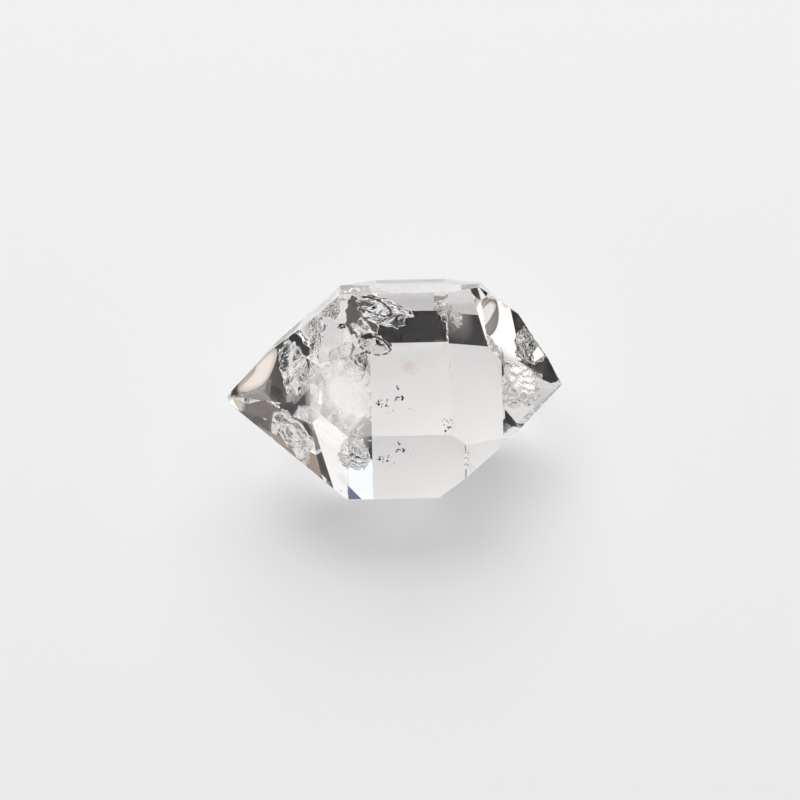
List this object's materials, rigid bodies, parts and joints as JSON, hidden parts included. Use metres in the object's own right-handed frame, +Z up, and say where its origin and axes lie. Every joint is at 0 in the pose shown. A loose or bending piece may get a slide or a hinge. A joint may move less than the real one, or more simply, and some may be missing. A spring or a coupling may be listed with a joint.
{
  "type": "herkimer diamond crystal",
  "caption": "Clear, stubby quartz crystal with a point at both ends, flat prism and end faces, small edge nicks and thin cracks inside, lying on its bottom prism face.",
  "frame": {"origin": "on the resting face's plane, under the middle of the bounding box", "axes": "+X along the crystal's long axis towards the end with the broad sloping top face, +Y towards the back, +Z up from the resting prism face"},
  "size_m": [0.0302, 0.0216, 0.0163],
  "materials": {
    "quartz": "natural glassy growth faces, clear, with small dark specks and bright healed cracks inside"
  },
  "bodies": {
    "root": {"crystal": "quartz"}
  },
  "joints": []
}
